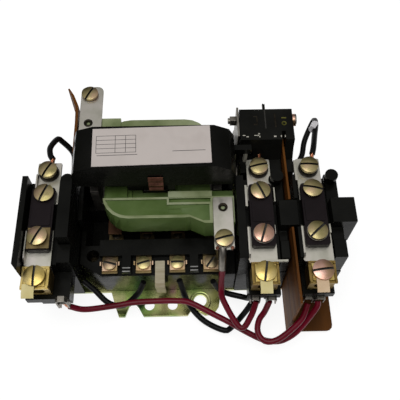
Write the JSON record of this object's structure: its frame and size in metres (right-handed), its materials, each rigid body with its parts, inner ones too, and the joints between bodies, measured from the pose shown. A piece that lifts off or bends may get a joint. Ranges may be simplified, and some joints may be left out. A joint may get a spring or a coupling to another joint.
{
  "type": "magnetic motor starter",
  "caption": "Open contactor with a green magnet coil, moving armature carrier, plug-in thermal overload relays, an auxiliary contact and jumper leads on one steel plate.",
  "frame": {"origin": "centre of the mounting plate's back face, the face that lies on the panel", "axes": "+X to the right and +Y to the line side seen from the front, +Z out of the panel"},
  "size_m": [0.159, 0.1329, 0.0698],
  "materials": {
    "magnet_steel": "oiled laminations",
    "black_phenolic": "moulded phenolic",
    "bronze_clip": "tarnished bronze",
    "nickel_plate": "plated",
    "white_nylon": "satin",
    "tan_strip": "satin",
    "black_wire": "insulation",
    "green_coil": "moulded resin",
    "brown_fibre": "vulcanised fibre",
    "copper": "copper",
    "heater_body": "satin",
    "brass": "satin",
    "zinc_plate": "yellow zinc plated steel",
    "blank_label": "satin, blank",
    "red_wire": "insulation",
    "spring_steel": "bright"
  },
  "bodies": {
    "frame": {"aux_bracket": "nickel_plate", "aux_housing": "black_phenolic", "base_retaining_clip": "tan_strip", "black_control_lead": "black_wire", "black_left_lead": "black_wire", "black_load_lead": "black_wire", "black_pole_lead": "black_wire", "black_right_lead": "black_wire", "coil": "green_coil", "coil_barrier": "brown_fibre", "coil_terminal_lower": "nickel_plate", "coil_terminal_upper": "nickel_plate", "heater_centre": "heater_body", "heater_left": "heater_body", "heater_right": "heater_body", "line_tab_centre": "nickel_plate", "line_tab_left": "nickel_plate", "line_tab_right": "nickel_plate", "line_terminal_1": "brass", "line_terminal_2": "brass", "line_terminal_3": "brass", "line_terminal_4": "brass", "load_lug_centre": "brass", "load_lug_left": "brass", "load_lug_right": "brass", "load_strap_centre": "nickel_plate", "load_strap_left": "nickel_plate", "load_strap_right": "nickel_plate", "load_terminal_1": "brass", "load_terminal_2": "brass", "load_terminal_3": "brass", "load_terminal_4": "brass", "magnet_core": "magnet_steel", "moulded_base": "black_phenolic", "mounting_plate": "zinc_plate", "overload_body_centre": "black_phenolic", "overload_body_left": "black_phenolic", "overload_body_right": "black_phenolic", "phase_barrier": "brown_fibre", "red_coil_lead": "red_wire", "red_control_lead": "red_wire", "red_relay_jumper": "red_wire", "return_spring_left": "spring_steel", "return_spring_right": "spring_steel", "trip_block_centre": "black_phenolic", "trip_block_left": "black_phenolic", "trip_block_right": "black_phenolic"},
    "carrier": {"armature_carrier": "black_phenolic", "armature": "magnet_steel", "rating_plate": "blank_label", "armature_clip": "bronze_clip", "contact_crossbar": "black_phenolic", "contact_bridge_1": "copper", "contact_bridge_2": "copper", "contact_bridge_3": "copper", "contact_bridge_4": "copper"},
    "aux_plunger": {"aux_plunger": "white_nylon"},
    "reset_left": {"reset_plunger_left": "black_phenolic"},
    "reset_centre": {"reset_plunger_centre": "black_phenolic"},
    "reset_right": {"reset_plunger_right": "black_phenolic"}
  },
  "joints": [
    {"name": "carrier_slide", "type": "slide", "parent": "frame", "child": "carrier", "axis": [0, 0, -1], "range_m": [0, 0.005], "stiffness_N_per_m": 400, "springref_m": -0.006, "deforming": ["return_spring_left", "return_spring_right"]},
    {"name": "aux_plunger_slide", "type": "slide", "parent": "frame", "child": "aux_plunger", "axis": [0, 0, -1], "range_m": [0, 0.005]},
    {"name": "reset_left_slide", "type": "slide", "parent": "frame", "child": "reset_left", "axis": [0, 0, -1], "range_m": [0, 0.003], "stiffness_N_per_m": 150},
    {"name": "reset_centre_slide", "type": "slide", "parent": "frame", "child": "reset_centre", "axis": [0, 0, -1], "range_m": [0, 0.003], "stiffness_N_per_m": 150},
    {"name": "reset_right_slide", "type": "slide", "parent": "frame", "child": "reset_right", "axis": [0, 0, -1], "range_m": [0, 0.003], "stiffness_N_per_m": 150}
  ],
  "couplings": [
    {"joint": "aux_plunger_slide", "follows": "carrier_slide", "ratio": 1}
  ]
}
